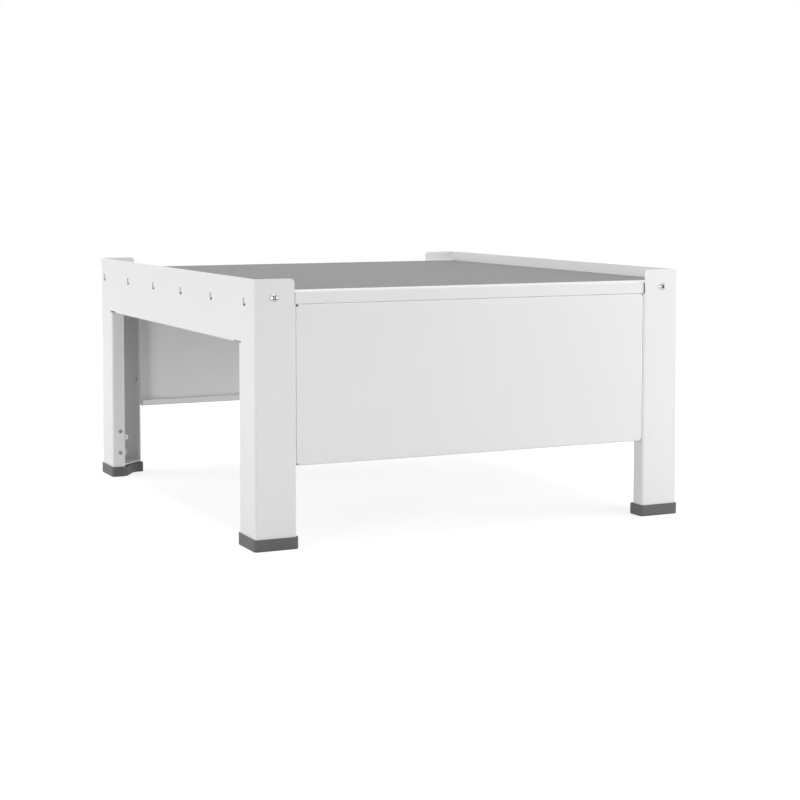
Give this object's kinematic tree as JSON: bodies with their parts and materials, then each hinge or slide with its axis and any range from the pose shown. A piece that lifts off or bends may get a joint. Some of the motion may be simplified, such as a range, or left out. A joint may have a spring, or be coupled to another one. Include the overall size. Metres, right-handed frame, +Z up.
{
  "type": "washing machine pedestal",
  "caption": "Free-standing folded sheet steel pedestal with a recessed top tray, closed front and back panels, open sides and plastic foot caps.",
  "frame": {"origin": "centre of the footprint on the floor", "axes": "+Z up, -Y towards the panel that faces the viewer in the picture (called the front), +X to that viewer's right, out of the right open side"},
  "size_m": [0.553, 0.605, 0.3],
  "materials": {
    "white_coat": "satin powder coat",
    "tray_sheet": "semi-gloss",
    "foot_plastic": "matt moulded",
    "zinc_steel": "bright zinc plated"
  },
  "bodies": {
    "root": {"side_frame_left": "white_coat", "side_frame_right": "white_coat", "front_cross_rail": "white_coat", "rear_cross_rail": "white_coat", "top_tray": "tray_sheet", "tray_stiffeners": "zinc_steel", "front_panel": "white_coat", "back_panel": "white_coat", "foot_front_left": "foot_plastic", "foot_front_right": "foot_plastic", "foot_rear_left": "foot_plastic", "foot_rear_right": "foot_plastic", "rail_rivets_left": "white_coat", "rail_rivets_right": "white_coat", "rail_screws_front": "zinc_steel", "rail_screws_rear": "zinc_steel", "rail_nuts_front": "zinc_steel", "rail_nuts_rear": "zinc_steel", "front_panel_screws": "zinc_steel", "back_panel_screws": "zinc_steel", "leg_weld_nuts": "white_coat", "leg_studs": "white_coat"}
  },
  "joints": []
}
